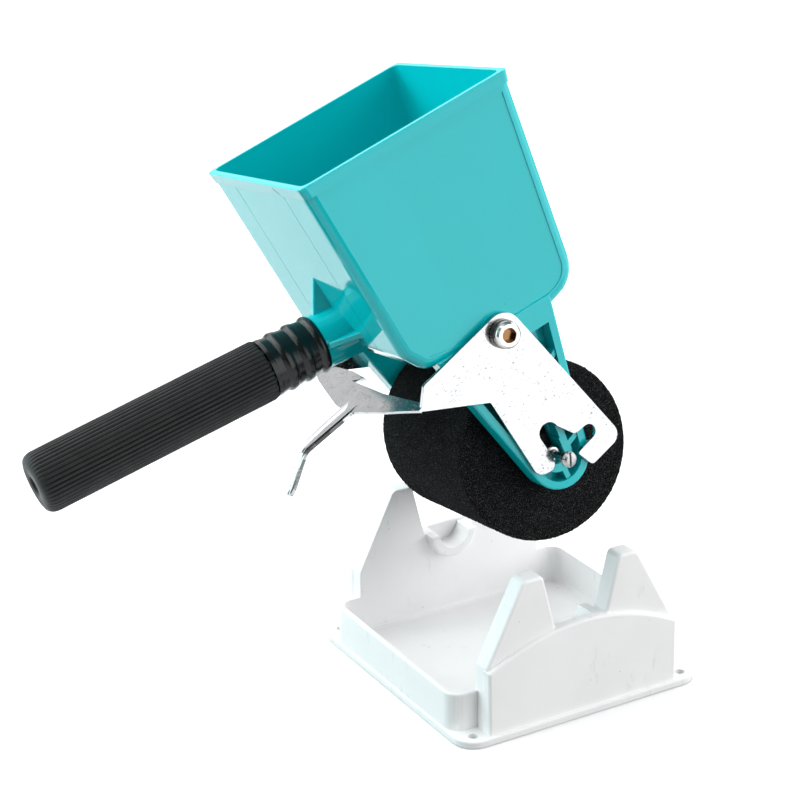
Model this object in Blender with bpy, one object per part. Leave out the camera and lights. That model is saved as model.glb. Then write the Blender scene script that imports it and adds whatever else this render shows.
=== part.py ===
"""Hand-held glue spreader: hopper with roller arms, sponge roller, trigger bracket and parking tray.

Frame: origin at the centre of the tray's underside, X towards the roller's front, Y along the roller
axis, Z up. The applicator is built in its own frame (axle end at the origin, Z out of the mouth) and
then set at the angle it is held at over the tray.
"""
import math

import bmesh
import bpy
from mathutils import Euler, Matrix, Vector

MM = 0.001
GAP = 0.3 * MM

# applicator pose over the tray
HOLD_X, HOLD_Y, HOLD_Z = -4.5 * MM, 1.9 * MM, 105.5 * MM
HOLD_YAW, HOLD_ROLL, HOLD_PITCH = -6.3, -11.5, -22.1

# sponge roller and axle
SPONGE_R = 37.5 * MM
SPONGE_L = 77.0 * MM
CORE_R = 12.2 * MM
CORE_BORE_R = 10.4 * MM
AXLE_X, AXLE_Z = 0.4 * MM, -0.4 * MM
AXLE_R = 3.2 * MM
AXLE_L = 94.0 * MM
PIN_R = 1.6 * MM
PIN_HEAD_R = 3.2 * MM
PIN_OUT = 61.5 * MM

# hopper
MOUTH_Z = 147.6 * MM
BODY_HALF_Y = 50.4 * MM
WALL = 1.8 * MM
RIM_H = 5.0 * MM
RIM_HALF_Y = 51.9 * MM
RIM_X0, RIM_X1 = -47.8 * MM, 49.2 * MM
HOPPER_SIDE = [(-47.2, 147.6, 0.0), (-39.9, 69.0, 8.0), (-33.4, 59.5, 6.0), (12.0, 50.8, 8.0),
               (40.7, 58.8, 14.0), (48.7, 147.6, 0.0)]
EDGE_ROUND = 4.2 * MM
SIDE_DRAFT, DRAFT_Z = 1.0 * MM, 55.0 * MM
PANEL_IN, PANEL_TOP, PANEL_DEEP = 4.9 * MM, 140.2 * MM, 0.35 * MM
SPLIT_Y = 26.5 * MM

# roller arms
ARM_Y0, ARM_Y1 = 41.0 * MM, 51.0 * MM
ARM_WEB = 3.0 * MM
ARM_RIM = 3.4 * MM
ARM_SLOT_W = 7.2 * MM
ARM_SLOT_TOP = 15.0 * MM

# pivot, metering roller
PIVOT_X, PIVOT_Z = 0.3 * MM, 57.1 * MM
METER_R = 11.0 * MM
METER_HALF = 40.0 * MM
SCREW_R = 3.0 * MM
SCREW_HEAD_R = 5.5 * MM
SCREW_HEAD_H = 3.6 * MM
HEX_AF = 5.5 * MM

# trigger bracket
CHEEK_Y0, CHEEK_Y1 = 51.6 * MM, 53.6 * MM
PLATE_T = 1.3 * MM
CHEEK = [(-38.2, 56.2, 1.2), (6.6, 66.5, 8.0), (28.2, -7.0, 5.0), (11.2, -10.9, 2.0), (7.5, -3.1, 1.0),
         (15.9, -0.9, 0.0)]
TONGUE_PATH = [(-49.0, 47.0, 5.2), (-54.0, 46.2, 5.8), (-60.0, 45.3, 5.8), (-67.0, 44.1, 5.4),
               (-78.2, 41.8, 4.0), (-80.2, 40.8, 3.8), (-81.9, 39.1, 3.5), (-86.9, 34.2, 3.0),
               (-91.0, 30.1, 2.6), (-92.5, 28.8, 2.1), (-93.3, 28.2, 1.2)]

# handle
HANDLE_TILT = 4.8
HANDLE_X, HANDLE_Z = -53.5 * MM, 76.5 * MM
GRIP_R = 12.8 * MM
RING_R = 12.4 * MM
COLLAR_L = 24.5 * MM
GRIP_L = 102.5 * MM
TUBE_R = 8.0 * MM
SOCKET_R = 11.4 * MM
FLUTES = 44

# tray
FLANGE_X, FLANGE_Y, FLANGE_T = 59.8 * MM, 60.2 * MM, 3.0 * MM
TUB_X, TUB_Y, TUB_H = 59.2 * MM, 49.0 * MM, 20.0 * MM
TUB_WALL = 2.0 * MM
CRADLE_Y0, CRADLE_Y1 = 46.4 * MM, 55.4 * MM
SADDLE_X, SADDLE_Z = -0.9 * MM, 42.4 * MM
SADDLE_R, BOSS_R = 7.6 * MM, 11.6 * MM
DOME_DRAFT = 1.9 * MM
HOLE_X, HOLE_Y, HOLE_R = 52.6 * MM, 54.6 * MM, 2.0 * MM


def clear_scene():
    for ob in list(bpy.data.objects):
        bpy.data.objects.remove(ob, do_unlink=True)
    for me in list(bpy.data.meshes):
        bpy.data.meshes.remove(me)


clear_scene()
PARTS = bpy.data.collections.new("glue_spreader")
CUTTERS = bpy.data.collections.new("cutters")
bpy.context.scene.collection.children.link(PARTS)
bpy.context.scene.collection.children.link(CUTTERS)


def material(name, rgb, rough, metal=0.0):
    mat = bpy.data.materials.new(name)
    mat.use_nodes = True
    bsdf = mat.node_tree.nodes["Principled BSDF"]
    bsdf.inputs["Base Color"].default_value = (*rgb, 1.0)
    bsdf.inputs["Roughness"].default_value = rough
    bsdf.inputs["Metallic"].default_value = metal
    return mat


TEAL = (0.045, 0.52, 0.55)
STEEL = (0.80, 0.81, 0.82)
BLACK = (0.02, 0.02, 0.022)
WHITE = (0.80, 0.81, 0.82)


def add(name, bm, rgb=None, rough=0.5, metal=0.0, cutter=False):
    bmesh.ops.recalc_face_normals(bm, faces=bm.faces)
    me = bpy.data.meshes.new(name)
    bm.to_mesh(me)
    bm.free()
    ob = bpy.data.objects.new(name, me)
    if cutter:
        CUTTERS.objects.link(ob)
        ob.hide_render = True
        ob.display_type = "WIRE"
    else:
        PARTS.objects.link(ob)
        me.materials.append(material("mat_" + name, rgb, rough, metal))
    return ob


def rounded(points, steps=5):
    """Closed outline from (x, z, radius) corners in millimetres; returns metres."""
    out = []
    count = len(points)
    for i in range(count):
        x, z, rad = points[i]
        p = Vector((x, z))
        a = Vector(points[i - 1][:2]) - p
        b = Vector(points[(i + 1) % count][:2]) - p
        if rad <= 0.0:
            out.append((x * MM, z * MM))
            continue
        a.normalize()
        b.normalize()
        half = a.angle(b) / 2.0
        if abs(half - math.pi / 2.0) < 0.01:
            out.append((x * MM, z * MM))
            continue
        dist = rad / math.tan(half)
        mid = (a + b).normalized()
        centre = p + mid * (rad / math.sin(half))
        start = p + a * dist - centre
        end = p + b * dist - centre
        turn = start.angle_signed(end)
        n = max(2, int(steps * abs(turn) / 1.2) + 1)
        for k in range(n + 1):
            ang = -turn * k / n
            c, s = math.cos(ang), math.sin(ang)
            q = centre + Vector((start.x * c - start.y * s, start.x * s + start.y * c))
            out.append((q.x * MM, q.y * MM))
    return out


def inset(outline, dist):
    """Moves a counter-clockwise or clockwise outline inwards by dist, corner by corner."""
    area = sum(outline[i - 1][0] * outline[i][1] - outline[i][0] * outline[i - 1][1]
               for i in range(len(outline)))
    sign = 1.0 if area > 0 else -1.0
    out = []
    for i in range(len(outline)):
        p0, p1, p2 = (Vector(outline[i - 1]), Vector(outline[i]), Vector(outline[(i + 1) % len(outline)]))
        e1 = (p1 - p0).normalized()
        e2 = (p2 - p1).normalized()
        n1 = Vector((-e1.y, e1.x)) * sign
        n2 = Vector((-e2.y, e2.x)) * sign
        m = (n1 + n2).normalized()
        out.append(tuple(p1 + m * (dist / max(0.4, m.dot(n1)))))
    return out


def arc(cx, cz, rad, a0, a1, n):
    """Points on an arc, angles in degrees, millimetres in, corner list out."""
    pts = []
    for k in range(n + 1):
        t = math.radians(a0 + (a1 - a0) * k / n)
        pts.append((cx + rad * math.cos(t), cz + rad * math.sin(t), 0.0))
    return pts


def prism(outline, y0, y1, round_y=0.0, segments=3, below=1.0):
    """Solid from an x-z outline pulled along Y; round_y softens the two end outlines under height below."""
    bm = bmesh.new()
    lo = [bm.verts.new((x, y0, z)) for x, z in outline]
    hi = [bm.verts.new((x, y1, z)) for x, z in outline]
    n = len(outline)
    bm.faces.new(lo)
    bm.faces.new(list(reversed(hi)))
    for i in range(n):
        j = (i + 1) % n
        bm.faces.new((lo[j], lo[i], hi[i], hi[j]))
    bmesh.ops.recalc_face_normals(bm, faces=bm.faces)
    if round_y > 0.0:
        edges = [e for e in bm.edges if abs(e.verts[0].co.y - e.verts[1].co.y) < 1e-7
                 and min(v.co.z for v in e.verts) < below]
        bmesh.ops.bevel(bm, geom=edges, offset=round_y, segments=segments, profile=0.5,
                        affect="EDGES", clamp_overlap=True)
    return bm


def drafted(bm):
    """Leans the two ends of a Y-wide solid outwards with height."""
    rate = SIDE_DRAFT / BODY_HALF_Y / (MOUTH_Z - DRAFT_Z)
    for v in bm.verts:
        v.co.y *= 1.0 + rate * (v.co.z - DRAFT_Z)
    return bm


def slab(outline, z0, z1, round_z=0.0, segments=2, top_only=True):
    """Solid from an x-y outline pulled along Z."""
    bm = bmesh.new()
    lo = [bm.verts.new((x, y, z0)) for x, y in outline]
    hi = [bm.verts.new((x, y, z1)) for x, y in outline]
    n = len(outline)
    bm.faces.new(lo)
    bm.faces.new(list(reversed(hi)))
    for i in range(n):
        j = (i + 1) % n
        bm.faces.new((lo[j], lo[i], hi[i], hi[j]))
    bmesh.ops.recalc_face_normals(bm, faces=bm.faces)
    if round_z > 0.0:
        edges = [e for e in bm.edges if abs(e.verts[0].co.z - e.verts[1].co.z) < 1e-7
                 and (e.verts[0].co.z > (z0 + z1) / 2.0 or not top_only)]
        bmesh.ops.bevel(bm, geom=edges, offset=round_z, segments=segments, profile=0.5,
                        affect="EDGES", clamp_overlap=True)
    return bm


def lathe(profile, segments=48, ring=False):
    """Turns (radius, along) points round the Y axis; ring closes a hollow profile on itself."""
    bm = bmesh.new()
    verts = [bm.verts.new((r, y, 0.0)) for r, y in profile]
    edges = [bm.edges.new(pair) for pair in zip(verts, verts[1:])]
    if ring:
        edges.append(bm.edges.new((verts[-1], verts[0])))
    bmesh.ops.spin(bm, geom=verts + edges, cent=(0.0, 0.0, 0.0), axis=(0.0, 1.0, 0.0), angle=2.0 * math.pi,
                   steps=segments, use_merge=True, use_duplicate=False)
    bmesh.ops.remove_doubles(bm, verts=bm.verts, dist=1e-7)
    return bm


def rod(rad, y0, y1, segments=32, chamfer=0.0):
    c = chamfer
    if c > 0.0:
        prof = [(0.0, y0), (rad - c, y0), (rad, y0 + c), (rad, y1 - c), (rad - c, y1), (0.0, y1)]
    else:
        prof = [(0.0, y0), (rad, y0), (rad, y1), (0.0, y1)]
    return lathe(prof, segments)


def tube(r_in, r_out, y0, y1, segments=40, chamfer=0.0):
    c = chamfer
    if c > 0.0:
        prof = [(r_in, y0), (r_out - c, y0), (r_out, y0 + c), (r_out, y1 - c), (r_out - c, y1), (r_in, y1)]
    else:
        prof = [(r_in, y0), (r_out, y0), (r_out, y1), (r_in, y1)]
    return lathe(prof, segments, ring=True)


def block(x0, x1, y0, y1, z0, z1):
    return slab([(x0, y0), (x1, y0), (x1, y1), (x0, y1)], z0, z1)


def shift(bm, x=0.0, y=0.0, z=0.0):
    bmesh.ops.translate(bm, verts=bm.verts, vec=(x, y, z))
    return bm


def turn(bm, axis, degrees, centre=(0.0, 0.0, 0.0)):
    bmesh.ops.rotate(bm, verts=bm.verts, cent=centre, matrix=Matrix.Rotation(math.radians(degrees), 3, axis))
    return bm


def combine(ob, tool, how):
    mod = ob.modifiers.new(how.lower() + "_" + tool.name, "BOOLEAN")
    mod.operation = how
    mod.solver = "EXACT"
    mod.object = tool


def join(ob, name, bm):
    combine(ob, add(name, bm, cutter=True), "UNION")


def cut(ob, name, bm):
    combine(ob, add(name, bm, cutter=True), "DIFFERENCE")


def smooth(ob, angle=35.0):
    for poly in ob.data.polygons:
        poly.use_smooth = True
    try:
        ob.data.set_sharp_from_angle(angle=math.radians(angle))
    except AttributeError:
        pass


APPLICATOR = []


def held(ob, at=None):
    """Marks a piece as part of the applicator; at gives its own local origin."""
    if at is not None:
        ob.data.transform(Matrix.Translation(-Vector(at)))
        ob.location = at
    APPLICATOR.append(ob)
    return ob


# --- tray ------------------------------------------------------------------------------------------
def box_outline(hx, hy, rad, steps=5):
    x, y, r = hx / MM, hy / MM, rad / MM
    return rounded([(-x, -y, r), (x, -y, r), (x, y, r), (-x, y, r)], steps)


tray = add("tray", slab(box_outline(FLANGE_X, FLANGE_Y, 9.5 * MM), 0.0, FLANGE_T, 0.7 * MM), WHITE, 0.42)
join(tray, "tray_tub", slab(box_outline(TUB_X, TUB_Y, 7.0 * MM), 0.5 * MM, TUB_H, 0.8 * MM))

# each end wall: two ears with a saddle between them, thickened by a low dome-shaped panel outside
EAR = [(-46.8, 0.5, 0.0), (46.8, 0.5, 0.0), (46.8, 31.0, 3.0), (26.4, 67.4, 3.2), (17.3, 67.4, 2.6),
       (11.8, 42.4, 1.4), (-13.6, 42.4, 1.4), (-20.2, 67.4, 2.6), (-29.9, 67.4, 3.2), (-46.8, 32.0, 3.0)]
DOME = [(-47.1, 0.5, 0.0), (47.1, 0.5, 0.0)]
for k in range(0, 13):
    t = -1.0 + 2.0 * k / 12.0
    DOME.append((-47.1 * t, 31.0 + 12.4 * (1.0 - t * t), 0.0))
for side, tag in ((-1.0, "near"), (1.0, "far")):
    y0, y1 = sorted((side * CRADLE_Y0, side * CRADLE_Y1))
    join(tray, "tray_ears_" + tag, prism(rounded(EAR), y0, y1, 1.0 * MM, 2))
    y0, y1 = sorted((side * (CRADLE_Y1 - 3.0 * MM), side * (CRADLE_Y1 + 1.6 * MM)))
    dome = prism(rounded(DOME), y0, y1, 1.1 * MM, 2)
    for v in dome.verts:
        if abs(v.co.y) > CRADLE_Y1:
            v.co.y += side * DOME_DRAFT * (1.0 - v.co.z / (44.0 * MM))
    join(tray, "tray_dome_" + tag, dome)
    half = [(SADDLE_X + BOSS_R * math.cos(math.radians(t)),
             SADDLE_Z - 0.2 * MM + BOSS_R * math.sin(math.radians(t))) for t in range(180, 361, 10)]
    y0, y1 = sorted((side * (CRADLE_Y0 - 4.2 * MM), side * (CRADLE_Y0 + 3.6 * MM)))
    add("tray_boss_" + tag, prism(half, y0, y1, 1.2 * MM, 2), cutter=True)

# the tub's hollow with soft floor corners
hollow = slab(box_outline(TUB_X - TUB_WALL, TUB_Y - TUB_WALL, 5.5 * MM), FLANGE_T, 90.0 * MM)
floor_edges = [e for e in hollow.edges if e.verts[0].co.z < 4.0 * MM and e.verts[1].co.z < 4.0 * MM]
bmesh.ops.bevel(hollow, geom=floor_edges, offset=2.0 * MM, segments=2, profile=0.5, affect="EDGES")
tray_hollow = add("tray_hollow", hollow, cutter=True)
combine(tray, tray_hollow, "DIFFERENCE")
combine(tray, bpy.data.objects["tray_boss_near"], "UNION")
combine(tray, bpy.data.objects["tray_boss_far"], "UNION")
for side, tag in ((-1.0, "near"), (1.0, "far")):
    y0, y1 = sorted((side * 38.0 * MM, side * (CRADLE_Y1 - 2.6 * MM)))
    cut(tray, "tray_saddle_" + tag, shift(rod(SADDLE_R, y0, y1, 32), SADDLE_X, 0.0, SADDLE_Z + 0.3 * MM))
for sx in (-1.0, 1.0):
    for sy in (-1.0, 1.0):
        hole = turn(rod(HOLE_R, -2.0 * MM, 6.0 * MM, 20), "X", 90.0)
        cut(tray, "tray_hole_%d%d" % (sx > 0, sy > 0), shift(hole, sx * HOLE_X, sy * HOLE_Y, 0.0))
smooth(tray)

# --- hopper shell ----------------------------------------------------------------------------------
side = rounded(HOPPER_SIDE, 6)
body = prism(side, -BODY_HALF_Y, BODY_HALF_Y, EDGE_ROUND, 5, MOUTH_Z - 1.0 * MM)
shell = add("hopper_shell", drafted(body), TEAL, 0.28)
rim = slab(rounded([(RIM_X0 / MM, -RIM_HALF_Y / MM, 2.6), (RIM_X1 / MM, -RIM_HALF_Y / MM, 2.6),
                    (RIM_X1 / MM, RIM_HALF_Y / MM, 2.6), (RIM_X0 / MM, RIM_HALF_Y / MM, 2.6)], 4),
           MOUTH_Z - RIM_H, MOUTH_Z, 0.5 * MM, 2)
for v in rim.verts:
    if v.co.z < MOUTH_Z - RIM_H + 0.1 * MM:
        v.co.x *= 0.982
        v.co.y *= 0.996
join(shell, "rim_band", rim)

# sunk side panels, split lines down the rear wall, and the nick where one of them meets the rim
panel = [(x, min(z, PANEL_TOP)) for x, z in inset(side, PANEL_IN)]
for sgn, tag in ((-1.0, "near"), (1.0, "far")):
    y0, y1 = sorted((sgn * (BODY_HALF_Y - PANEL_DEEP), sgn * (BODY_HALF_Y + 4.0 * MM)))
    cut(shell, "panel_" + tag, drafted(prism(panel, y0, y1)))
    line = [(x, z) for x, z in inset(side, 0.22 * MM)[1:] if x < -30.0 * MM]
    line = [(-60.0 * MM, 142.3 * MM), (-46.5 * MM, 142.3 * MM)] + line
    line += [(line[-1][0], 40.0 * MM), (-60.0 * MM, 40.0 * MM)]
    cut(shell, "split_" + tag, prism(line, sgn * SPLIT_Y - 0.16 * MM, sgn * SPLIT_Y + 0.16 * MM))
nick = turn(block(-0.7 * MM, 0.7 * MM, -2.2 * MM, 2.2 * MM, -0.33 * MM, 0.33 * MM), "X", 39.0)
cut(shell, "rim_nick", shift(nick, RIM_X0 + 0.13 * MM, -23.1 * MM, 144.5 * MM))

ARM = [(-28.5, 60.0, 0.0)]
ARM += arc(0.8, -1.6, 13.3, 194.0, 346.0, 12)
ARM += [(26.5, 60.0, 0.0)]
arm_outline = rounded(ARM)
arm_inner = inset(arm_outline, ARM_RIM)
for sgn, tag in ((-1.0, "near"), (1.0, "far")):
    y0, y1 = sorted((sgn * ARM_Y0, sgn * ARM_Y1))
    join(shell, "arm_" + tag, prism(arm_outline, y0, y1, 0.8 * MM, 2))

# handle socket and its fins
tilt = Matrix.Rotation(math.radians(HANDLE_TILT), 3, "Y")


def along_handle(bm, start):
    """Turns a Y-axis lathe so that +Y runs back along the handle, starting at start mm behind the socket."""
    turn(bm, "Z", 90.0)
    shift(bm, x=-start)
    turn(bm, "Y", HANDLE_TILT)
    return shift(bm, HANDLE_X, 0.0, HANDLE_Z)


socket = lathe([(0.0, -16.0 * MM), (SOCKET_R, -16.0 * MM), (SOCKET_R, -GAP), (0.0, -GAP)], 64)
join(shell, "socket_barrel", along_handle(socket, 0.0))
FIN = [(-38.0, 103.0, 0.0), (-42.4, 101.9, 0.6), (-50.1, 87.3, 0.8), (-51.8, 79.0, 0.0), (-38.0, 79.0, 0.0)]
join(shell, "fin_top", prism(rounded(FIN), -1.4 * MM, 1.4 * MM, 0.4 * MM, 1))
KEEL = [(-37.5, 64.9, 0.0), (-52.9, 67.0, 0.8), (-53.2, 76.0, 0.0), (-37.5, 76.0, 0.0)]
join(shell, "fin_keel", prism(rounded(KEEL), -7.4 * MM, 7.4 * MM, 0.5 * MM, 1))
WING = [(-38.0, -18.2), (-40.5, -17.2), (-52.9, -12.6), (-52.9, 12.6), (-40.5, 17.2), (-38.0, 18.2)]
wing = slab([(x * MM, y * MM) for x, y in WING], -1.3 * MM, 1.3 * MM, 0.4 * MM, 1, False)
turn(wing, "Y", HANDLE_TILT + 2.0, (-46.0 * MM, 0.0, 0.0))
join(shell, "fin_side", shift(wing, 0.0, 0.0, 75.7 * MM))

# hollow, outlet, arm pockets, bores
inner = inset(side, WALL)
top = [p for p in inner]
cavity_pts = []
for x, z in top:
    if z > MOUTH_Z - 5.0 * MM:
        cavity_pts.append((x * 1.012, MOUTH_Z + 6.0 * MM))
    else:
        cavity_pts.append((x, z))
hollow = prism(cavity_pts, -(BODY_HALF_Y - WALL), BODY_HALF_Y - WALL, 3.2 * MM, 4, MOUTH_Z)
cut(shell, "cavity", drafted(hollow))
cut(shell, "outlet", block(-12.3 * MM, 12.3 * MM, -40.6 * MM, 40.6 * MM, 40.0 * MM, 64.0 * MM))
for sgn, tag in ((-1.0, "near"), (1.0, "far")):
    y0, y1 = sorted((sgn * (ARM_Y0 + ARM_WEB), sgn * (ARM_Y1 + 1.0 * MM)))
    low = [(x, z) for x, z in arm_inner]
    pocket = []
    for x, z in low:
        zz = min(z, 50.0 * MM)
        pocket.append((x * (0.93 if z > zz else 1.0), zz))
    cut(shell, "pocket_" + tag, prism(pocket, y0, y1))
    hub = tube(3.6 * MM, 7.0 * MM, min(sgn * 41.5, sgn * 50.2) * MM, max(sgn * 41.5, sgn * 50.2) * MM, 32)
    join(shell, "hub_ring_" + tag, shift(hub, AXLE_X, 0.0, AXLE_Z))
    r0, r1 = sorted((sgn * (ARM_Y0 + 1.0 * MM), sgn * 50.2 * MM))
    rib = prism(rounded([(4.2, -1.0, 0.0), (7.0, -1.0, 0.0), (9.6, 50.5, 0.0), (6.8, 50.5, 0.0)]), r0, r1)
    join(shell, "rib_front_" + tag, rib)
    rib = prism(rounded([(-3.9, -1.0, 0.0), (-5.7, -1.0, 0.0), (-7.6, 50.5, 0.0), (-5.8, 50.5, 0.0)]), r0, r1)
    join(shell, "rib_rear_" + tag, rib)
    rib = prism(rounded([(7.0, 0.2, 0.0), (7.0, 2.4, 0.0), (13.2, 4.6, 0.0), (13.2, 2.4, 0.0)]), r0, r1)
    join(shell, "rib_low_" + tag, rib)
    rib = prism(rounded([(8.3, 31.5, 0.0), (21.5, 38.0, 0.0), (21.5, 40.2, 0.0), (8.3, 33.7, 0.0)]), r0, r1)
    join(shell, "rib_high_" + tag, rib)
    rib = prism(rounded([(-0.3, -6.0, 0.0), (1.9, -6.0, 0.0), (1.9, -12.5, 0.0), (-0.3, -12.5, 0.0)]), r0, r1)
    join(shell, "rib_toe_" + tag, rib)
    s0, s1 = sorted((sgn * 40.0 * MM, sgn * 53.0 * MM))
    half = ARM_SLOT_W / 2.0 / MM
    ax, az = AXLE_X / MM, AXLE_Z / MM
    slot = [(ax - half, ARM_SLOT_TOP / MM, 2.0), (ax + half, ARM_SLOT_TOP / MM, 2.0)]
    slot += list(reversed(arc(ax, az, half, 180.0, 360.0, 8)))
    cut(shell, "axle_slot_" + tag, prism(rounded(slot), s0, s1))
    bore = shift(rod(6.3 * MM, s0, s1, 32), PIVOT_X, 0.0, PIVOT_Z)
    boss = shift(rod(8.4 * MM, min(sgn * 41.4, sgn * 50.8) * MM, max(sgn * 41.4, sgn * 50.8) * MM, 36),
                 PIVOT_X, 0.0, PIVOT_Z)
    join(shell, "pivot_boss_" + tag, boss)
    cut(shell, "pivot_bore_" + tag, bore)
cut(shell, "socket_bore", along_handle(rod(TUBE_R + GAP, -11.0 * MM, 3.0 * MM, 36), 0.0))
smooth(shell)
held(shell)

# --- wipers on either side of the outlet -----------------------------------------------------------
for tag, pts in (("rear", [(-19.5, 59.05), (-19.2, 60.6), (-11.7, 59.15), (-12.0, 57.6)]),
                 ("front", [(12.0, 53.3), (11.7, 54.75), (19.0, 56.7), (19.4, 55.2)])):
    strip = prism([(x * MM, z * MM) for x, z in pts], -40.2 * MM, 40.2 * MM)
    held(add("wiper_" + tag, strip, BLACK, 0.6))

# --- handle ----------------------------------------------------------------------------------------
tube_l = COLLAR_L + GRIP_L - 6.0 * MM
held(add("handle_core", along_handle(rod(TUBE_R, -10.5 * MM, tube_l, 36, 0.6 * MM), 0.0), STEEL, 0.4, 1.0))

bore_r = TUBE_R + GAP
collar = [(bore_r, GAP), (RING_R - 0.9 * MM, GAP), (RING_R - 0.3 * MM, 0.6 * MM), (RING_R, 1.2 * MM)]
for k in range(3):
    pos, grow = 7.7 * MM * k, 0.12 * MM * k
    collar += [(RING_R + grow - cut_in * MM, pos + run * MM) for cut_in, run in
               ((0.0, 1.9), (0.12, 2.5), (0.45, 3.1), (0.85, 3.6), (0.95, 3.9), (0.9, 4.3), (0.55, 6.6))]
    if k < 2:
        collar += [(RING_R + grow - cut_in * MM, pos + run * MM) for cut_in, run in
                   ((0.38, 7.3), (0.1, 7.9), (0.0, 8.5))]
collar += [(RING_R - 0.2 * MM, COLLAR_L - 2.0 * MM), (RING_R - 0.2 * MM, COLLAR_L - GAP), (bore_r, COLLAR_L - GAP)]
held(add("grip_collar", along_handle(lathe(collar, 72, ring=True), 0.0), BLACK, 0.3))


def fluted(rows, count, depth):
    """Closed sleeve: rows of (radius, along, flute share) outside, plain bore inside, shut at the far end."""
    bm = bmesh.new()
    seg = count * 2
    rings = []
    for r, y, share in rows:
        ring = []
        for k in range(seg):
            t = 2.0 * math.pi * k / seg
            rad = r - (depth * share if k % 2 else 0.0)
            ring.append(bm.verts.new((rad * math.cos(t), y, rad * math.sin(t))))
        rings.append(ring)
    for a, b in zip(rings, rings[1:]):
        for k in range(seg):
            j = (k + 1) % seg
            bm.faces.new((a[k], a[j], b[j], b[k]))
    return bm, rings, seg


y_start, y_end = 0.0, GRIP_L
bm, rings, seg = fluted([(GRIP_R - 1.1 * MM, y_start, 0.0), (GRIP_R, y_start + 1.6 * MM, 1.0),
                         (GRIP_R, y_end - 3.2 * MM, 1.0), (GRIP_R - 0.9 * MM, y_end - 1.2 * MM, 0.4),
                         (GRIP_R - 2.6 * MM, y_end, 0.0)], FLUTES, 0.55 * MM)
tip = bm.verts.new((0.0, y_end + 0.4 * MM, 0.0))
for k in range(seg):
    bm.faces.new((rings[-1][k], rings[-1][(k + 1) % seg], tip))
deep = []
for y in (y_start, y_end - 5.6 * MM):
    deep.append([bm.verts.new((bore_r * math.cos(2 * math.pi * k / seg), y,
                               bore_r * math.sin(2 * math.pi * k / seg))) for k in range(seg)])
floor = bm.verts.new((0.0, y_end - 5.6 * MM, 0.0))
for k in range(seg):
    j = (k + 1) % seg
    bm.faces.new((rings[0][k], rings[0][j], deep[0][j], deep[0][k]))
    bm.faces.new((deep[0][k], deep[0][j], deep[1][j], deep[1][k]))
    bm.faces.new((deep[1][k], deep[1][j], floor))
held(add("grip_sleeve", along_handle(bm, COLLAR_L), BLACK, 0.75))

# --- sponge roller ---------------------------------------------------------------------------------
AXLE = (AXLE_X, 0.0, AXLE_Z)
half_l = SPONGE_L / 2.0
sponge = lathe([(CORE_R + GAP, -half_l), (SPONGE_R - 1.2 * MM, -half_l), (SPONGE_R - 0.35 * MM, -half_l + 0.35 * MM),
                (SPONGE_R, -half_l + 1.2 * MM), (SPONGE_R, half_l - 1.2 * MM),
                (SPONGE_R - 0.35 * MM, half_l - 0.35 * MM), (SPONGE_R - 1.2 * MM, half_l),
                (CORE_R + GAP, half_l)], 88, ring=True)
sponge_ob = held(add("sponge_sleeve", shift(sponge, AXLE_X, 0.0, AXLE_Z), BLACK, 0.95), AXLE)
core = tube(CORE_BORE_R, CORE_R, -half_l + 0.4 * MM, half_l - 0.4 * MM, 36, 0.3 * MM)
core_ob = held(add("roller_core", shift(core, AXLE_X, 0.0, AXLE_Z), (0.05, 0.05, 0.055), 0.5), AXLE)
ends = []
for sgn, tag in ((-1.0, "near"), (1.0, "far")):
    y_in, y_out = sgn * (half_l - 7.0 * MM), sgn * (half_l - 0.6 * MM)
    plug = lathe([(AXLE_R + GAP, y_in), (CORE_BORE_R - GAP, y_in), (CORE_BORE_R - GAP, y_out),
                  (7.6 * MM, y_out), (7.2 * MM, sgn * (half_l + 1.7 * MM)),
                  (AXLE_R + GAP, sgn * (half_l + 1.7 * MM))], 28, ring=True)
    ends.append(held(add("roller_plug_" + tag, shift(plug, AXLE_X, 0.0, AXLE_Z), (0.04, 0.04, 0.045), 0.45), AXLE))

end, deep = AXLE_L / 2, AXLE_L / 2 - 9.0 * MM
prof = [(0.0, deep), (PIN_R + GAP, deep), (PIN_R + GAP, end), (AXLE_R - 0.4 * MM, end), (AXLE_R, end - 0.4 * MM)]
axle = lathe([(r, -y) for r, y in prof] + [(r, y) for r, y in reversed(prof)], 32)
held(add("roller_axle", shift(axle, AXLE_X, 0.0, AXLE_Z), STEEL, 0.3, 1.0))
for sgn, tag in ((-1.0, "near"), (1.0, "far")):
    prof = [(0.0, AXLE_L / 2 - 8.5 * MM), (PIN_R, AXLE_L / 2 - 8.5 * MM), (PIN_R, PIN_OUT - 2.4 * MM),
            (PIN_HEAD_R, PIN_OUT - 2.4 * MM), (PIN_HEAD_R, PIN_OUT - 1.0 * MM),
            (PIN_HEAD_R - 0.6 * MM, PIN_OUT - 0.3 * MM), (PIN_HEAD_R - 1.6 * MM, PIN_OUT), (0.0, PIN_OUT)]
    pin = add("axle_pin_" + tag, lathe([(r, sgn * y) for r, y in prof], 24), STEEL, 0.25, 1.0)
    y0, y1 = sorted((sgn * (PIN_OUT - 1.1 * MM), sgn * (PIN_OUT + 1.0 * MM)))
    groove = block(-0.45 * MM, 0.45 * MM, y0, y1, -4.0 * MM, 4.0 * MM)
    cut(pin, "pin_slot_" + tag, shift(turn(groove, "Y", 24.0), AXLE_X, 0.0, AXLE_Z))
    pin.data.transform(Matrix.Translation(Vector(AXLE)))
    held(pin)

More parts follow.
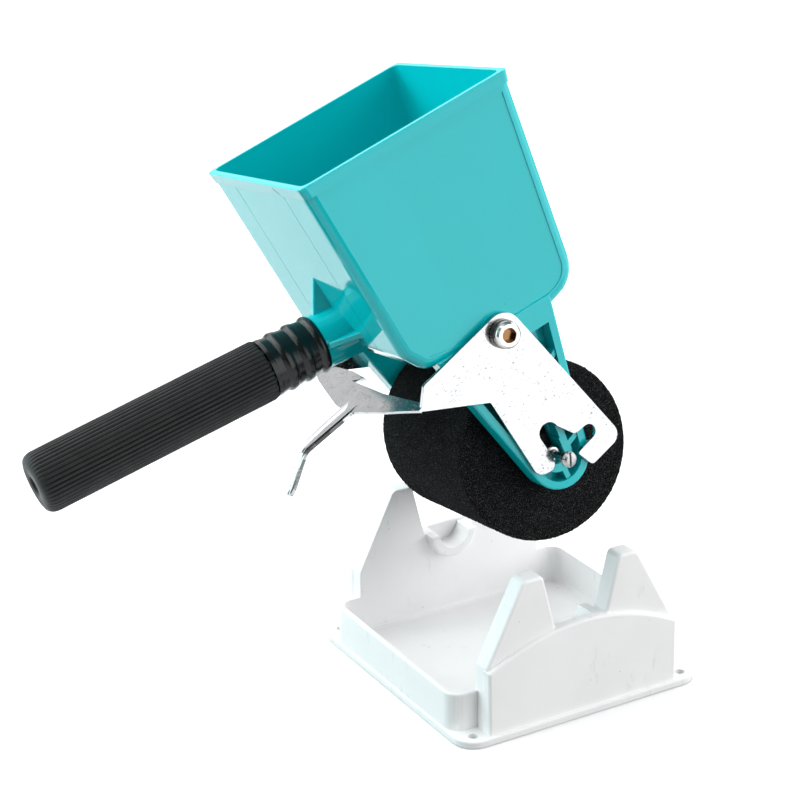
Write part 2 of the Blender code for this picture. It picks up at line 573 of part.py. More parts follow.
# --- metering roller, bushes, pivot screws ---------------------------------------------------------
PIVOT = (PIVOT_X, 0.0, PIVOT_Z)
meter = tube(6.0 * MM + GAP, METER_R, -METER_HALF, METER_HALF, 40, 0.5 * MM)
meter_ob = held(add("metering_roller", shift(meter, *PIVOT), (0.06, 0.06, 0.065), 0.5), PIVOT)
end, deep = METER_HALF - 0.2 * MM, 26.0 * MM
prof = [(0.0, deep), (SCREW_R + GAP, deep), (SCREW_R + GAP, end), (5.7 * MM, end), (6.0 * MM, end - 0.3 * MM)]
mcore = lathe([(r, -y) for r, y in prof] + [(r, y) for r, y in reversed(prof)], 28)
held(add("metering_core", shift(mcore, *PIVOT), STEEL, 0.35, 1.0))

for sgn, tag in ((-1.0, "near"), (1.0, "far")):
    y_a, y_b = sgn * 40.8 * MM, sgn * 51.2 * MM
    bush = lathe([(SCREW_R + GAP, y_a), (6.0 * MM, y_a), (6.0 * MM, y_b), (SCREW_R + GAP, y_b)], 28, ring=True)
    held(add("pivot_bush_" + tag, shift(bush, *PIVOT), (0.72, 0.70, 0.62), 0.4))
    head0 = 55.9 * MM
    prof = [(0.0, 29.0 * MM), (SCREW_R - 0.6 * MM, 29.0 * MM), (SCREW_R, 30.0 * MM), (SCREW_R, head0),
            (SCREW_HEAD_R - 0.4 * MM, head0), (SCREW_HEAD_R, head0 + 0.4 * MM),
            (SCREW_HEAD_R, head0 + SCREW_HEAD_H - 1.3 * MM),
            (SCREW_HEAD_R - 0.25 * MM, head0 + SCREW_HEAD_H - 0.8 * MM),
            (SCREW_HEAD_R - 1.0 * MM, head0 + SCREW_HEAD_H), (0.0, head0 + SCREW_HEAD_H)]
    screw = add("pivot_screw_" + tag, lathe([(r, sgn * y) for r, y in prof], 48), STEEL, 0.25, 1.0)
    y0, y1 = sorted((sgn * (head0 + SCREW_HEAD_H - 2.6 * MM), sgn * (head0 + SCREW_HEAD_H + 1.0 * MM)))
    hexa = rod(HEX_AF / 2.0 / math.cos(math.pi / 6.0), y0, y1, 6)
    screw.data.transform(Matrix.Translation(Vector(PIVOT)))
    cut(screw, "hex_socket_" + tag, shift(turn(hexa, "Y", 12.0), *PIVOT))
    held(screw)
    coil = bmesh.new()
    rings = []
    steps = 28
    for k in range(steps + 1):
        ang = math.radians(8.0 + 344.0 * k / steps)
        lift = 0.25 * MM * k / steps
        ring = []
        for r, y in ((3.4, 53.9), (5.9, 53.9), (5.9, 55.35), (3.4, 55.35)):
            ring.append(coil.verts.new((r * MM * math.cos(ang), sgn * (y * MM + lift), r * MM * math.sin(ang))))
        rings.append(ring)
    for a, b in zip(rings, rings[1:]):
        for i in range(4):
            j = (i + 1) % 4
            coil.faces.new((a[i], a[j], b[j], b[i]))
    coil.faces.new(rings[0])
    coil.faces.new(list(reversed(rings[-1])))
    turn(coil, "Y", 60.0)
    held(add("spring_washer_" + tag, shift(coil, *PIVOT), STEEL, 0.35, 1.0))

# --- trigger bracket -------------------------------------------------------------------------------
outline = list(CHEEK)
outline += arc(15.6, 2.2, 3.1, -84.0, 98.0, 8)
outline += [(9.9, 4.6, 1.6)]
outline += arc(0.1, 11.0, 4.4, 8.0, 176.0, 9)
outline += [(-2.7, -0.3, 0.8), (-4.6, -3.4, 2.6), (-11.9, -2.6, 4.4), (-13.2, 9.0, 0.0), (-16.6, 35.4, 1.0),
            (-43.9, 47.8, 1.0)]
cheek = rounded(outline)
bracket = add("trigger_bracket", prism(cheek, -CHEEK_Y1, -CHEEK_Y0, 0.25 * MM, 1), STEEL, 0.35, 1.0)
join(bracket, "cheek_far", prism(cheek, CHEEK_Y0, CHEEK_Y1, 0.25 * MM, 1))

# the sloping plate that ties the cheeks together, with a small pointed tab in front
SLOPE = math.degrees(math.atan2(3.4, 11.5))
PLATE = [(-0.8, -53.6), (0.3, -48.0), (2.1, -17.2), (1.8, 2.0), (1.6, 16.7), (-1.6, 7.7), (-2.6, 22.4),
         (-1.8, 42.0), (-0.8, 53.6), (3.6, 53.6), (7.1, 43.4), (9.9, 31.5), (14.2, 12.6), (14.8, 6.0),
         (14.8, -6.0), (13.4, -10.8), (10.2, -27.1), (6.4, -41.7), (3.6, -53.6)]
plate = slab([(-s * MM, y * MM) for s, y in PLATE], -PLATE_T, 0.0)
turn(plate, "Y", -SLOPE)
join(bracket, "tie_plate", shift(plate, -41.0 * MM, 0.0, 49.7 * MM))


def tongue():
    """Pressed finger lever: a thin strip following TONGUE_PATH with its long edges turned down."""
    pts = [Vector((x * MM, 0.0, z * MM)) for x, z, w in TONGUE_PATH]
    n = len(pts)
    shape = [(-1.0, -1.8), (-0.94, -0.5), (-0.76, 0.0), (-0.48, -0.15), (-0.2, -0.5), (0.2, -0.5),
             (0.48, -0.15), (0.76, 0.0), (0.94, -0.5), (1.0, -1.8)]
    bm = bmesh.new()
    upper, lower = [], []
    for i, p in enumerate(pts):
        d = (pts[min(n - 1, i + 1)] - pts[max(0, i - 1)]).normalized()
        up = Vector((d.z, 0.0, -d.x))
        w = TONGUE_PATH[i][2] * MM
        row_u, row_l = [], []
        for s, h in shape:
            base = p + Vector((0.0, s * w, 0.0)) + up * (h * MM)
            row_u.append(bm.verts.new(base))
            inward = -0.9 * MM * s if abs(s) > 0.9 else 0.0
            row_l.append(bm.verts.new(base + Vector((0.0, inward, 0.0)) - up * (0.9 if abs(s) < 0.99 else 0.3) * MM))
        upper.append(row_u)
        lower.append(row_l)
    m = len(shape)
    for i in range(n - 1):
        for k in range(m - 1):
            bm.faces.new((upper[i][k], upper[i][k + 1], upper[i + 1][k + 1], upper[i + 1][k]))
            bm.faces.new((lower[i][k], lower[i + 1][k], lower[i + 1][k + 1], lower[i][k + 1]))
        bm.faces.new((upper[i][0], upper[i + 1][0], lower[i + 1][0], lower[i][0]))
        bm.faces.new((upper[i][m - 1], lower[i][m - 1], lower[i + 1][m - 1], upper[i + 1][m - 1]))
    for i in (0, n - 1):
        for k in range(m - 1):
            bm.faces.new((upper[i][k], upper[i][k + 1], lower[i][k + 1], lower[i][k]))
    return bm


join(bracket, "tongue", tongue())
for sgn, tag in ((-1.0, "near"), (1.0, "far")):
    y0, y1 = sorted((sgn * 50.5 * MM, sgn * 54.5 * MM))
    cut(bracket, "cheek_hole_" + tag, shift(rod(SCREW_R + 0.35 * MM, y0, y1, 28), *PIVOT))
held(bracket, PIVOT)
for ob in APPLICATOR:
    if ob.name != "hopper_shell":
        smooth(ob, 32.0)

# --- set the applicator over the tray --------------------------------------------------------------
pose = Euler((math.radians(HOLD_ROLL), math.radians(HOLD_PITCH), math.radians(HOLD_YAW)), "YXZ")
hold = bpy.data.objects.new("applicator_frame", None)
PARTS.objects.link(hold)
hold.rotation_mode = "YXZ"
hold.rotation_euler = pose
hold.location = (HOLD_X, HOLD_Y, HOLD_Z)
for ob in APPLICATOR:
    ob.parent = hold
LOCAL_TOOLS = [ob for ob in CUTTERS.objects if not ob.name.startswith("tray_")]
for ob in LOCAL_TOOLS:
    ob.parent = hold
bpy.context.view_layer.update()
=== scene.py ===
"""Looks for the glue spreader: a teal hopper with a sponge roller, held over its white parking tray.

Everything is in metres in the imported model's own frame. Pieces of the applicator are made in its own
frame (roller axle near the origin, Y along the axle, Z up to the pivot) and set over the tray by HELD.
"""
import math

import bmesh
import bpy
from mathutils import Euler, Matrix, Vector, noise


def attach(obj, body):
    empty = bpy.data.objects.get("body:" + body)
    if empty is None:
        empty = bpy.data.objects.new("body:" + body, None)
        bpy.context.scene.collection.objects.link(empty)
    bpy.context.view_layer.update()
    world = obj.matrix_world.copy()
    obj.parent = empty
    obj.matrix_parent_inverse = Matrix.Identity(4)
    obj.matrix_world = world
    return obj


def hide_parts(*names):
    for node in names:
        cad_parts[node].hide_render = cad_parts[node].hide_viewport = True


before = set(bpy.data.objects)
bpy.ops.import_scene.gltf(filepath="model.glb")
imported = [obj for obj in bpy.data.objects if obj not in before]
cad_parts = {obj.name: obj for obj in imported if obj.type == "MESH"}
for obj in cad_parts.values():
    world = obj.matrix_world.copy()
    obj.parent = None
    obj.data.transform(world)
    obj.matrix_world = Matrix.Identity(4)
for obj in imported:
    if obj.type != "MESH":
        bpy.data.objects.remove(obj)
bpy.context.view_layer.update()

MM = 0.001

# the applicator's own frame, as it is held over the tray
HOLD_AT = Vector((-4.5, 1.9, 105.5)) * MM
HOLD_TURN = Euler((math.radians(-11.5), math.radians(-22.1), math.radians(-6.3)), "YXZ")
HELD = Matrix.Translation(HOLD_AT) @ HOLD_TURN.to_matrix().to_4x4()
AXLE = Vector((0.4, 0.0, -0.4)) * MM
PIVOT_MM = (0.3, 0.0, 57.1)
HANDLE_AT = Vector((-53.5, 0.0, 76.5)) * MM
HANDLE_TILT = math.radians(4.8)


def linked(name, data):
    """A new object for this data, in the scene."""
    ob = bpy.data.objects.new(name, data)
    bpy.context.scene.collection.objects.link(ob)
    return ob


# --- camera ----------------------------------------------------------------------------------------
def place_camera():
    """A long lens, held level, looking down at the tool from the handle's end and the -Y side."""
    turn, down_by = math.radians(30.91), math.radians(22.23)
    # where the model's origin lies from the lens: to the right, down and away
    origin = Vector((46.8, 111.7, 1005.8)) * MM
    right = Vector((math.cos(turn), -math.sin(turn), 0.0))
    level = math.cos(down_by)
    away = Vector((math.sin(turn) * level, math.cos(turn) * level, -math.sin(down_by)))
    down = away.cross(right)
    lens_at = -(right * origin.x + down * origin.y + away * origin.z)
    data = bpy.data.cameras.new("camera")
    data.sensor_width = 36.0
    data.lens = 103.5
    data.clip_end = 50.0
    camera = linked("camera", data)
    facing = Matrix((right, -down, -away)).transposed().to_4x4()
    camera.matrix_world = Matrix.Translation(lens_at) @ facing
    bpy.context.scene.camera = camera


place_camera()


# --- node graphs -----------------------------------------------------------------------------------
class Graph:
    """A Principled material and short calls that add nodes to it. Pattern sizes are in millimetres."""

    def __init__(self, name, **sockets):
        self.mat = bpy.data.materials.new(name)
        self.mat.use_nodes = True
        self.tree = self.mat.node_tree
        self.bsdf = self.tree.nodes["Principled BSDF"]
        for key, value in sockets.items():
            self.bsdf.inputs[key.replace("_", " ")].default_value = value

    def add(self, kind, inputs, **props):
        node = self.tree.nodes.new("ShaderNode" + kind)
        for key, value in props.items():
            setattr(node, key, value)
        for key, value in inputs.items():
            self.put(node.inputs[key], value)
        return node

    def put(self, socket, value):
        if isinstance(value, bpy.types.NodeSocket):
            self.tree.links.new(value, socket)
        elif isinstance(value, tuple) and len(value) == 3 and socket.type == "RGBA":
            socket.default_value = (*value, 1.0)
        else:
            socket.default_value = value

    def place(self, held=False, squeeze=(1.0, 1.0, 1.0)):
        """Millimetre coordinates, in the applicator's frame where held, stretched by squeeze."""
        vec = self.add("TexCoord", {}).outputs["Object"]
        if held:
            held_at = {"Vector": vec, "Location": HELD.translation, "Rotation": HELD.to_euler("XYZ")}
            vec = self.add("Mapping", held_at, vector_type="TEXTURE").outputs[0]
        scale = tuple(1000.0 * s for s in squeeze)
        return self.add("Mapping", {"Vector": vec, "Scale": scale}).outputs[0]

    def noise(self, vec, size, detail=3.0, rough=0.55, distortion=0.0):
        inputs = {"Vector": vec, "Scale": 1.0 / size, "Detail": detail, "Roughness": rough,
                  "Distortion": distortion}
        return self.add("TexNoise", inputs).outputs["Fac"]

    def cells(self, vec, size, feature="F1"):
        inputs = {"Vector": vec, "Scale": 1.0 / size, "Randomness": 1.0}
        return self.add("TexVoronoi", inputs, feature=feature).outputs["Distance"]

    def span(self, value, low, high, out_low=0.0, out_high=1.0):
        """Goes smoothly from out_low to out_high as value goes from low to high."""
        inputs = {"Value": value, "From Min": low, "From Max": high, "To Min": out_low, "To Max": out_high}
        return self.add("MapRange", inputs, interpolation_type="SMOOTHSTEP").outputs["Result"]

    def math(self, how, a, b=0.0):
        return self.add("Math", {0: a, 1: b}, operation=how).outputs[0]

    def mix(self, share, a, b):
        """Colour a, going over to colour b as share goes from 0 to 1."""
        node = self.add("Mix", {"Factor": share, "A": 0.0, "B": 0.0}, data_type="FLOAT")
        node.data_type = "RGBA"
        self.put(node.inputs[0], share)
        self.put(node.inputs[6], a)
        self.put(node.inputs[7], b)
        return node.outputs[2]

    def bump(self, height, depth, normal=None):
        """Bump of depth millimetres where height goes from 0 to 1."""
        inputs = {"Height": height, "Strength": 1.0, "Distance": depth * MM}
        if normal is not None:
            inputs["Normal"] = normal
        return self.add("Bump", inputs).outputs[0]

    def set(self, **sockets):
        for key, value in sockets.items():
            self.put(self.bsdf.inputs[key.replace("_", " ")], value)
        return self.mat


def teal_plastic(name, base, deep):
    """Glossy moulded ABS: even colour, faint flow marks, a few scuffs and specks of dust."""
    g = Graph(name, IOR=1.40)
    vec = g.place(True)
    flow = g.noise(g.place(True, (0.35, 1.0, 0.12)), 14.0, 4.0, 0.5, 0.6)
    cloud = g.noise(vec, 30.0, 2.0)
    streak = g.math("ADD", g.math("MULTIPLY", flow, 0.5), g.math("MULTIPLY", cloud, 0.5))
    colour = g.mix(g.span(streak, 0.3, 0.7), base, deep)
    speck = g.span(g.cells(vec, 9.0), 0.035, 0.02)
    keep = g.span(g.noise(vec, 21.0, 1.0), 0.56, 0.6)
    colour = g.mix(g.math("MULTIPLY", speck, keep), colour, tuple(c * 0.45 for c in deep))
    hair = g.noise(g.place(True, (0.06, 1.0, 1.6)), 1.7, 2.0, 0.5, 0.4)
    worn = g.span(g.noise(vec, 12.0, 3.0), 0.56, 0.70)
    scuff = g.math("MULTIPLY", g.span(hair, 0.66, 0.76), worn)
    rough = g.span(cloud, 0.25, 0.75, 0.045, 0.075)
    rough = g.math("ADD", rough, g.math("MULTIPLY", scuff, 0.10))
    peel = g.noise(vec, 2.2, 2.0, 0.5)
    normal = g.bump(peel, 0.004)
    normal = g.bump(g.noise(vec, 26.0, 1.0), 0.05, normal)
    return g.set(Base_Color=colour, Roughness=rough, Normal=normal)


TEAL = (0.001, 0.545, 0.585)
TEAL_DEEP = (0.001, 0.518, 0.556)
hopper_mat = teal_plastic("teal_abs", TEAL, TEAL_DEEP)
wiper_mat = teal_plastic("teal_wiper", (0.004, 0.34, 0.38), (0.003, 0.31, 0.345))


def white_plastic():
    """Satin polypropylene with a fine spark-eroded grain, a few dark specks and faint scuffs."""
    g = Graph("tray_plastic", IOR=1.49)
    vec = g.place()
    cloud = g.noise(vec, 34.0, 3.0)
    colour = g.mix(g.span(cloud, 0.3, 0.7), (0.895, 0.88, 0.88), (0.865, 0.85, 0.85))
    streak = g.noise(g.place(squeeze=(1.0, 1.0, 0.25)), 3.4, 4.0, 0.6)
    worn = g.span(g.noise(vec, 25.0, 2.0), 0.50, 0.62)
    rub = g.math("MULTIPLY", g.span(streak, 0.56, 0.72), worn)
    colour = g.mix(g.math("MULTIPLY", rub, 0.30), colour, (0.50, 0.50, 0.51))
    for size, reach, gate in ((6.5, 0.045, 0.50), (3.1, 0.055, 0.58)):
        speck = g.span(g.cells(vec, size), reach, reach * 0.45)
        speck = g.math("MULTIPLY", speck, g.span(g.noise(vec, 9.0 + size, 2.0), gate, gate + 0.05))
        colour = g.mix(g.math("MULTIPLY", speck, 0.8), colour, (0.16, 0.15, 0.15))
    grain = g.noise(vec, 0.55, 3.0, 0.6)
    normal = g.bump(grain, 0.022)
    rough = g.span(cloud, 0.2, 0.8, 0.44, 0.54)
    return g.set(Base_Color=colour, Roughness=rough, Normal=normal)


RECESS_R = (2.9, 3.15)
RECESS_BROWN = (0.20, 0.105, 0.045)


def zinc(name, base=(0.51, 0.51, 0.52), rough=0.15, speck=True, recess=None):
    """Bright zinc plate over rolled sheet: fine grain along one way, short dark scratches, faint clouds.

    recess, in millimetres, is a point on a screw's axis: the hexagon socket there is coloured a darker
    brown.
    """
    g = Graph(name, Metallic=1.0)
    vec = g.place(True)
    cloud = g.noise(vec, 11.0, 3.0, 0.6)
    colour = g.mix(g.span(cloud, 0.3, 0.75), base, tuple(c * 0.90 for c in base))
    grain = g.noise(g.place(True, (0.10, 1.0, 2.2)), 0.8, 3.0, 0.6)
    level = g.span(grain, 0.3, 0.7, rough - 0.03, rough + 0.05)
    if speck:
        nick = g.span(g.noise(g.place(True, (0.42, 1.0, 1.9)), 0.80, 2.0, 0.6), 0.57, 0.63)
        gate = g.span(g.noise(vec, 8.0, 2.0), 0.42, 0.56)
        nick = g.math("MULTIPLY", nick, gate)
        colour = g.mix(g.math("MULTIPLY", nick, 0.64), colour, (0.06, 0.06, 0.065))
        level = g.math("ADD", level, g.math("MULTIPLY", nick, 0.25))
    if recess is not None:
        off = g.add("VectorMath", {0: vec, 1: recess}, operation="SUBTRACT").outputs[0]
        flat = g.add("VectorMath", {0: off, 1: (1.0, 0.0, 1.0)}, operation="MULTIPLY").outputs[0]
        reach = g.add("VectorMath", {0: flat}, operation="LENGTH").outputs["Value"]
        colour = g.mix(g.span(reach, RECESS_R[1], RECESS_R[0]), colour, RECESS_BROWN)
    normal = g.bump(grain, 0.006)
    return g.set(Base_Color=colour, Roughness=level, Normal=normal)


def black_rubber(name, grey, rough, grain_depth):
    """Black rubber or plastic with a fine grain, faint clouds and a little dust."""
    g = Graph(name, IOR=1.38)
    vec = g.place(True)
    cloud = g.noise(vec, 9.0, 4.0, 0.6)
    tint = (grey, grey, grey * 1.06)
    colour = g.mix(g.span(cloud, 0.3, 0.7), tint, tuple(c * 0.72 for c in tint))
    patch = g.span(g.noise(vec, 6.0, 2.0), 0.55, 0.65)
    dust = g.math("MULTIPLY", g.span(g.cells(vec, 1.9), 0.13, 0.05), patch)
    colour = g.mix(g.math("MULTIPLY", dust, 0.35), colour, (0.16, 0.16, 0.165))
    fine = g.noise(vec, 0.45, 3.0, 0.6)
    level = g.span(cloud, 0.25, 0.75, rough - 0.06, rough + 0.08)
    return g.set(Base_Color=colour, Roughness=level, Normal=g.bump(fine, grain_depth))


def sponge_foam():
    """Open-cell black foam: painted shade darkens the small pits, painted light makes the struts between
    them lighter.
    """
    g = Graph("sponge_foam", Roughness=1.0, IOR=1.3, Specular_IOR_Level=0.12)
    vec = g.place(True)
    cell = g.cells(vec, 0.70, "DISTANCE_TO_EDGE")
    strut = g.span(cell, 0.14, 0.02)
    fine = g.noise(vec, 0.42, 3.0, 0.7)
    clump = g.noise(vec, 4.0, 3.0, 0.6)
    # painted shade and painted light: pit centres take the dark colour, struts the lighter one, broken up by
    # noise
    light = g.math("MULTIPLY", strut, g.span(fine, 0.44, 0.62))
    light = g.math("MULTIPLY", light, g.span(clump, 0.35, 0.70, 0.75, 1.0))
    colour = g.mix(light, (0.0035, 0.0035, 0.0038), (0.105, 0.105, 0.109))
    normal = g.bump(g.span(cell, 0.0, 0.30, 1.0, 0.0), 0.30)
    normal = g.bump(fine, 0.12, normal)
    return g.set(Base_Color=colour, Normal=normal)


def assign(node, mat):
    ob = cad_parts[node]
    if not ob.material_slots:
        ob.data.materials.append(mat)
    for slot in ob.material_slots:
        slot.material = mat


steel = zinc("zinc_bracket")
hardware = zinc("hardware_steel", base=(0.60, 0.60, 0.58), rough=0.20, speck=False)
screw_mat = zinc("screw_steel", base=(0.56, 0.55, 0.52), rough=0.20, speck=False, recess=PIVOT_MM)
washer_mat = zinc("washer_steel", base=(0.20, 0.18, 0.17), rough=0.24, speck=False)
pin_mat = zinc("pin_steel", base=(0.36, 0.36, 0.36), rough=0.22)
bush_mat = teal_plastic("bush_nylon", (0.62, 0.62, 0.56), (0.56, 0.56, 0.50))
core_mat = black_rubber("core_plastic", 0.014, 0.42, 0.01)
meter_mat = black_rubber("meter_plastic", 0.010, 0.30, 0.006)
collar_mat = black_rubber("collar_rubber", 0.006, 0.20, 0.005)
grip_mat = black_rubber("grip_rubber", 0.006, 0.55, 0.03)
foam = sponge_foam()

assign("hopper_shell", hopper_mat)
assign("wiper_rear", wiper_mat)
assign("wiper_front", wiper_mat)
assign("tray", white_plastic())
assign("trigger_bracket", steel)
for tag in ("near", "far"):
    assign("axle_pin_" + tag, pin_mat)
    assign("pivot_screw_" + tag, screw_mat)
    assign("spring_washer_" + tag, washer_mat)
    assign("pivot_bush_" + tag, bush_mat)
    assign("roller_plug_" + tag, core_mat)
assign("roller_axle", hardware)
assign("metering_core", core_mat)
assign("metering_roller", meter_mat)
assign("roller_core", core_mat)
assign("handle_core", core_mat)
assign("grip_collar", collar_mat)


# --- meshes ----------------------------------------------------------------------------------------
def piece(name, bm, mat, smooth):
    """A new object from a mesh in the applicator's frame; smooth is the sharp-edge angle in degrees."""
    bm.transform(HELD)
    bmesh.ops.recalc_face_normals(bm, faces=bm.faces)
    mesh = bpy.data.meshes.new(name)
    bm.to_mesh(mesh)
    bm.free()
    mesh.materials.append(mat)
    ob = linked(name, mesh)
    mesh.shade_smooth()
    mesh.set_sharp_from_angle(angle=math.radians(smooth))
    return ob


def ring(bm, r, y, segments, shape=None):
    """Points round the Y axis, or one point on it; shape(radius, along, angle) may move each of them."""
    if r <= 0.0:
        return [bm.verts.new((0.0, y, 0.0))]
    row = []
    for k in range(segments):
        a = 2.0 * math.pi * k / segments
        rad, along = shape(r, y, a) if shape else (r, y)
        row.append(bm.verts.new((rad * math.cos(a), along, rad * math.sin(a))))
    return row


def bridge(bm, rows, segments):
    """Faces between each row of points and the next."""
    for a, b in zip(rows, rows[1:]):
        for k in range(segments):
            j = (k + 1) % segments
            if len(a) == 1:
                bm.faces.new((a[0], b[j], b[k]))
            elif len(b) == 1:
                bm.faces.new((a[k], a[j], b[0]))
            else:
                bm.faces.new((a[k], a[j], b[j], b[k]))


def to_handle(bm, start):
    """Lays a Y-axis turning along the handle, start metres back from the socket: +Y runs back."""
    back = Matrix.Rotation(math.radians(90.0), 3, "Z")
    tilt = Matrix.Rotation(HANDLE_TILT, 3, "Y")
    bmesh.ops.rotate(bm, verts=bm.verts, cent=(0, 0, 0), matrix=back)
    bmesh.ops.translate(bm, verts=bm.verts, vec=(-start, 0, 0))
    bmesh.ops.rotate(bm, verts=bm.verts, cent=(0, 0, 0), matrix=tilt)
    bmesh.ops.translate(bm, verts=bm.verts, vec=HANDLE_AT)
    return bm


# --- sponge roller ---------------------------------------------------------------------------------
SPONGE_R, SPONGE_HALF, SPONGE_BORE = 37.5 * MM, 38.5 * MM, 12.5 * MM
SHOULDER = 1.2 * MM
FLAT_R = SPONGE_R - SHOULDER
CELL = 0.62 * MM
PIT_SIZE, PIT_DEPTH, RIM_KEEP = 1.15 * MM, 0.30, 0.3 * MM


def shoulder(k, end):
    """Point k of 3 round the edge between the outside and the flat end, where end is 1 or -1."""
    a = math.radians(30.0 * k)
    return SPONGE_R - SHOULDER * (1.0 - math.cos(a)), end * (SPONGE_HALF - SHOULDER * (1.0 - math.sin(a)))


def sponge_profile():
    """Outside, rounded shoulders, flat ends and bore, in steps of about one foam cell."""
    straight = 2.0 * SPONGE_HALF - 2.0 * SHOULDER
    steps = int(straight / CELL)
    rows = [(SPONGE_R, -SPONGE_HALF + SHOULDER + straight * k / steps) for k in range(steps + 1)]
    rows += [shoulder(k, 1.0) for k in (1, 2, 3)]
    steps = int((FLAT_R - SPONGE_BORE) / CELL)
    face = [FLAT_R - (FLAT_R - SPONGE_BORE) * k / steps for k in range(1, steps + 1)]
    rows += [(r, SPONGE_HALF) for r in face]
    rows += [(SPONGE_BORE, y * MM) for y in (30.0, 0.0, -30.0)]
    rows += [(r, -SPONGE_HALF) for r in reversed(face)]
    rows += [shoulder(k, -1.0) for k in (3, 2, 1)]
    return rows


def foam_skin(bm):
    """Sinks the cells and raises the struts of open foam; the rim of the bore keeps its place."""
    bm.normal_update()
    moves = []
    for v in bm.verts:
        far = math.hypot(v.co.x, v.co.z)
        if far < SPONGE_BORE + RIM_KEEP:
            moves.append(0.0)
            continue
        p = v.co / PIT_SIZE
        near, _ = noise.voronoi(p)
        pit = min(1.0, (near[1] - near[0]) * 1.6)
        wave = noise.noise(v.co / (7.0 * MM))
        moves.append((-PIT_DEPTH * pit + 0.16 * noise.noise(p * 2.3) + 0.06 * wave) * MM)
    for v, d in zip(bm.verts, moves):
        v.co += v.normal * d


def sponge_mesh():
    segments = int(2.0 * math.pi * SPONGE_R / CELL)
    bm = bmesh.new()
    rows = [ring(bm, r, y, segments) for r, y in sponge_profile()]
    bridge(bm, rows + rows[:1], segments)
    foam_skin(bm)
    bmesh.ops.translate(bm, verts=bm.verts, vec=AXLE)
    return bm


sponge = piece("sponge", sponge_mesh(), foam, 180.0)
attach(sponge, "sponge_roller")
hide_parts("sponge_sleeve")

# --- grip ------------------------------------------------------------------------------------------
# radii in metres, lengths along the grip in millimetres from its front edge
GRIP_R, BORE_R, GRIP_START = 12.8 * MM, 8.3 * MM, 24.5 * MM
GRIP_L, FLUTES, FLUTE_DEPTH = 102.5, 44, 0.62 * MM
FRONT_L, DOME_L, DOME_DROP, BORE_END = 1.3, 4.8, 2.8 * MM, 6.0


def flute(share, jag):
    """Rounded ridges with narrow grooves between them; jag tears the front edge a little."""
    def shape(r, y, a):
        wave = abs(math.sin(a * FLUTES / 2.0))
        ridge = wave ** 0.55
        soft = 0.06 * noise.noise(Vector((math.cos(a) * 3.0, y * 90.0, math.sin(a) * 3.0)))
        along = y + jag * noise.noise(Vector((math.cos(a) * 9.0, 2.0, math.sin(a) * 9.0)))
        return r - FLUTE_DEPTH * share * (1.0 - ridge) + soft * MM * share, along
    return shape


def grip_profile():
    """(radius, along, share of the flutes' depth, jag) from the front bore to the blind hole at the back."""
    rows = [(BORE_R, 0.0, 0.0, 0.0), (GRIP_R - 1.6 * MM, 0.0, 0.0, 0.2),
            (GRIP_R - 0.55 * MM, 0.15, 0.5, 0.9), (GRIP_R - 0.12 * MM, 0.55, 1.0, 0.9),
            (GRIP_R, FRONT_L, 1.0, 0.5)]
    steps = 24
    for k in range(1, steps + 1):
        rows.append((GRIP_R, FRONT_L + (GRIP_L - DOME_L - FRONT_L) * k / steps, 1.0, 0.0))
    for k in range(1, 7):
        a = math.radians(15.0 * k)
        rows.append((GRIP_R - DOME_DROP * (1.0 - math.cos(a)), GRIP_L - DOME_L + DOME_L * math.sin(a),
                     max(0.0, 1.0 - k / 5.0), 0.0))
    hole = ((9.4, 0.25), (8.0, 0.3), (4.4, 0.3), (3.9, -0.1), (3.8, -4.2), (0.0, -4.4))
    return rows + [(r * MM, GRIP_L + past, 0.0, 0.0) for r, past in hole]


def grip_mesh():
    segments = FLUTES * 8
    bm = bmesh.new()
    rows = [ring(bm, r, y * MM, segments, flute(share, jag * MM))
            for r, y, share, jag in grip_profile()]
    inner = ring(bm, BORE_R, (GRIP_L - BORE_END) * MM, segments)
    cap = ring(bm, 0.0, (GRIP_L - BORE_END) * MM, segments)
    bridge(bm, [cap, inner] + rows, segments)
    return bm


grip = piece("grip", to_handle(grip_mesh(), GRIP_START), grip_mat, 50.0)
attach(grip, "hopper")
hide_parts("grip_sleeve")


# --- room: plain pale floor, soft studio light -----------------------------------------------------
FLOOR_R, FLOOR_DROP = 1.65, 0.4 * MM
WORLD_LIGHT, WORLD_SEEN = 0.20, 1.0


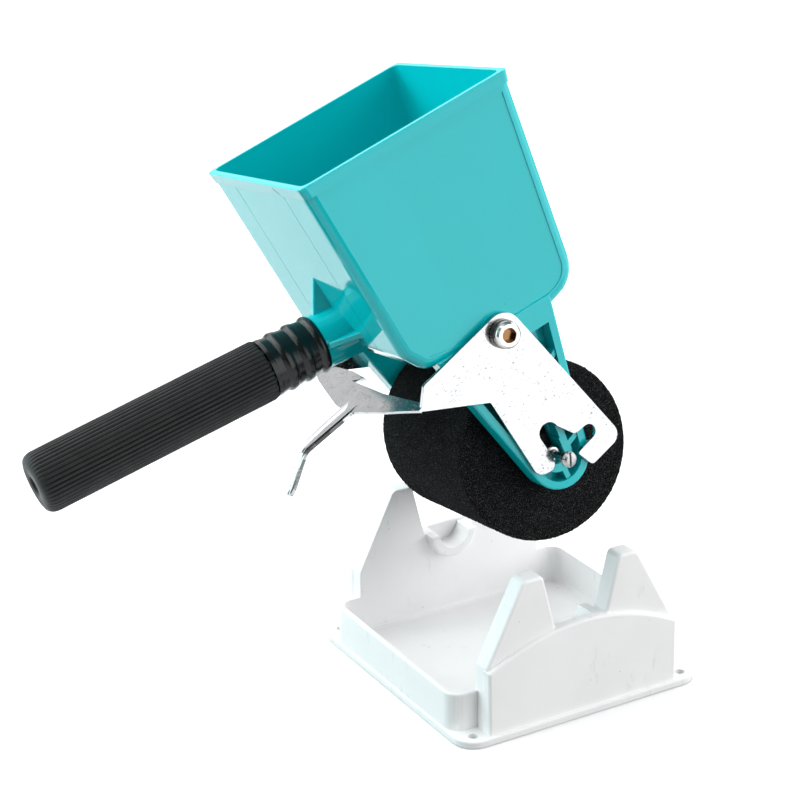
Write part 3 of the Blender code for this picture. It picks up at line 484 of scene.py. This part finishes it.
def room():
    """A round paper floor that bounces no diffuse light, and a dim world that the camera sees as white."""
    g = Graph("floor_paper", Roughness=0.9)
    cloud = g.span(g.noise(g.place(), 400.0, 2.0), 0.3, 0.7)
    g.set(Base_Color=g.mix(cloud, (0.955, 0.95, 0.95), (0.97, 0.965, 0.965)))
    bm = bmesh.new()
    bmesh.ops.create_circle(bm, cap_ends=True, segments=96, radius=FLOOR_R)
    mesh = bpy.data.meshes.new("floor")
    bm.to_mesh(mesh)
    bm.free()
    mesh.materials.append(g.mat)
    floor = linked("floor", mesh)
    floor.location.z = -FLOOR_DROP
    floor.visible_diffuse = False

    world = bpy.data.worlds.new("studio")
    world.use_nodes = True
    tree = world.node_tree
    tree.nodes["Background"].inputs["Color"].default_value = (1.0, 1.0, 1.0, 1.0)
    seen = tree.nodes.new("ShaderNodeLightPath").outputs["Is Camera Ray"]
    level = tree.nodes.new("ShaderNodeMapRange")
    level.inputs["To Min"].default_value = WORLD_LIGHT
    level.inputs["To Max"].default_value = WORLD_SEEN
    tree.links.new(seen, level.inputs["Value"])
    tree.links.new(level.outputs["Result"], tree.nodes["Background"].inputs["Strength"])
    bpy.context.scene.world = world


def softbox(name, at, aim_z, size, power, tint=(1.0, 1.0, 1.0)):
    """A rectangular light of this size in metres and power in watts, aimed at a height over the origin."""
    data = bpy.data.lights.new(name, "AREA")
    data.shape = "RECTANGLE"
    data.size, data.size_y = size
    data.energy = power
    data.color = tint
    ob = linked(name, data)
    ob.location = at
    ob.rotation_euler = (Vector((0.0, 0.0, aim_z)) - Vector(at)).to_track_quat("-Z", "Y").to_euler()


room()
softbox("top", (-0.5, 1.0, 1.9), 0.10, (3.0, 2.6), 60.0)
softbox("back_left", (-1.5, 1.0, 0.75), 0.14, (3.2, 1.9), 55.0, (0.76, 0.98, 1.0))
softbox("front_right", (1.75, -1.4, 0.85), 0.13, (5.6, 3.4), 148.0, (0.97, 0.995, 1.0))
softbox("backdrop", (1.2, 1.9, 0.8), 0.10, (3.4, 1.4), 12.0)

bpy.context.scene.view_settings.view_transform = "Standard"
bpy.context.scene.view_settings.look = "None"
